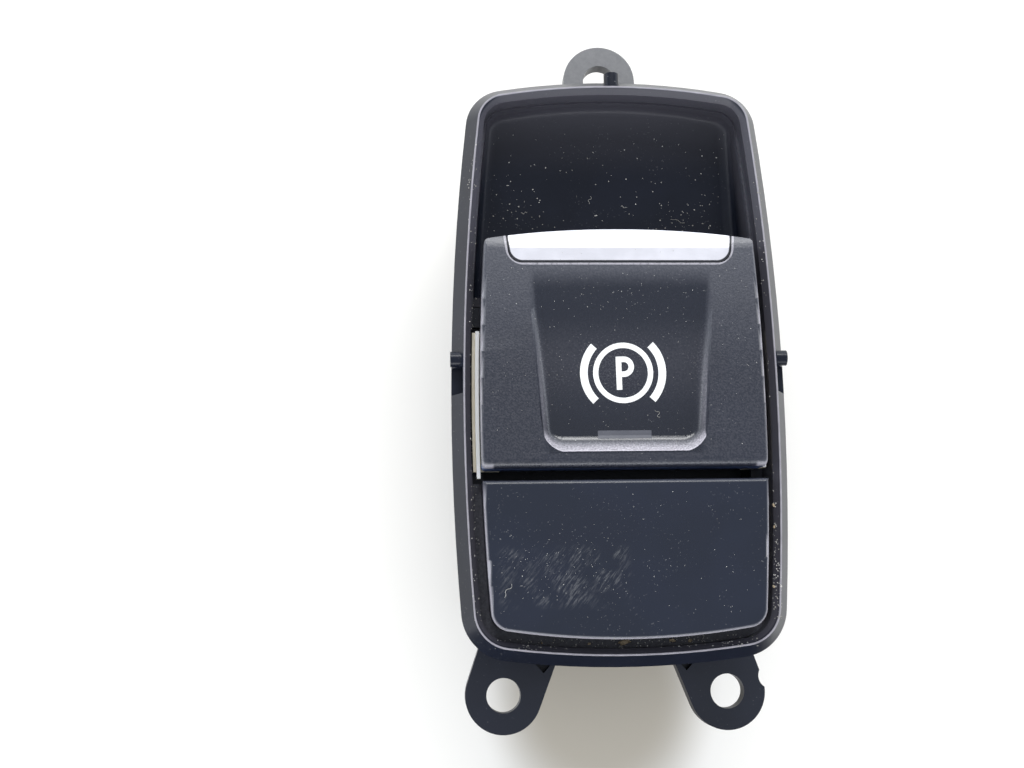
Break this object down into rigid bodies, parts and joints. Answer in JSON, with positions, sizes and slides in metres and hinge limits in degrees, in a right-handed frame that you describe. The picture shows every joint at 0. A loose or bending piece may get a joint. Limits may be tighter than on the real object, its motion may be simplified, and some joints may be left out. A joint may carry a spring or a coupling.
{
  "type": "parking brake switch",
  "caption": "Electric parking brake switch module: rocking lever with satin lip and thumb dish, blank panel, finger well and rim, on a housing with three fixing ears",
  "frame": {"origin": "centre of the module's footprint on its flat rear face", "axes": "+Z out of the front panel, +Y towards the single upper fixing ear, X across the panel"},
  "size_m": [0.046, 0.1008, 0.034],
  "materials": {
    "panel_black": "fine grained black",
    "bezel_black": "satin black",
    "housing_black": "moulded black",
    "satin_metal_trim": "satin metal plating",
    "white_plastic": "moulded white",
    "clear_plastic": "clear",
    "board_green": "solder mask",
    "led_white": "gloss",
    "magnet_dark": "sintered",
    "tinned_brass": "tinned",
    "chip_black": "moulded",
    "steel": "zinc plated"
  },
  "bodies": {
    "housing": {"bezel_frame": "bezel_black", "blank_cap": "panel_black", "switch_housing": "housing_black", "rear_cover": "housing_black", "pivot_pin": "steel", "circuit_board": "board_green", "light_guide": "clear_plastic", "symbol_led": "led_white", "status_led": "led_white", "hall_sensor_a": "chip_black", "hall_sensor_b": "chip_black", "control_chip": "chip_black", "front_centering_spring": "steel", "rear_centering_spring": "steel", "terminal_pin_1": "tinned_brass", "terminal_pin_2": "tinned_brass", "terminal_pin_3": "tinned_brass", "terminal_pin_4": "tinned_brass", "terminal_pin_5": "tinned_brass", "terminal_pin_6": "tinned_brass", "terminal_pin_7": "tinned_brass", "terminal_pin_8": "tinned_brass", "case_screw_1": "steel", "case_screw_2": "steel", "case_screw_3": "steel", "case_screw_4": "steel", "board_screw_1": "steel", "board_screw_2": "steel"},
    "lever": {"lever_cap": "panel_black", "lever_lip": "satin_metal_trim", "lever_carrier": "white_plastic"},
    "slider": {"centering_slider": "white_plastic", "sensor_magnet": "magnet_dark"}
  },
  "joints": [
    {"name": "lever_rock", "type": "hinge", "parent": "housing", "child": "lever", "pos_m": [0, -0.0063, 0.0266], "axis": [1, 0, 0], "range_deg": [-5, 7], "stiffness_Nm_per_rad": 0.4},
    {"name": "slider_travel", "type": "slide", "parent": "housing", "child": "slider", "axis": [0, 1, 0], "range_m": [-0.00095, 0.0013], "deforming": ["front_centering_spring", "rear_centering_spring"]}
  ],
  "couplings": [
    {"joint": "slider_travel", "follows": "lever_rock", "m_per_rad": 0.0094}
  ]
}
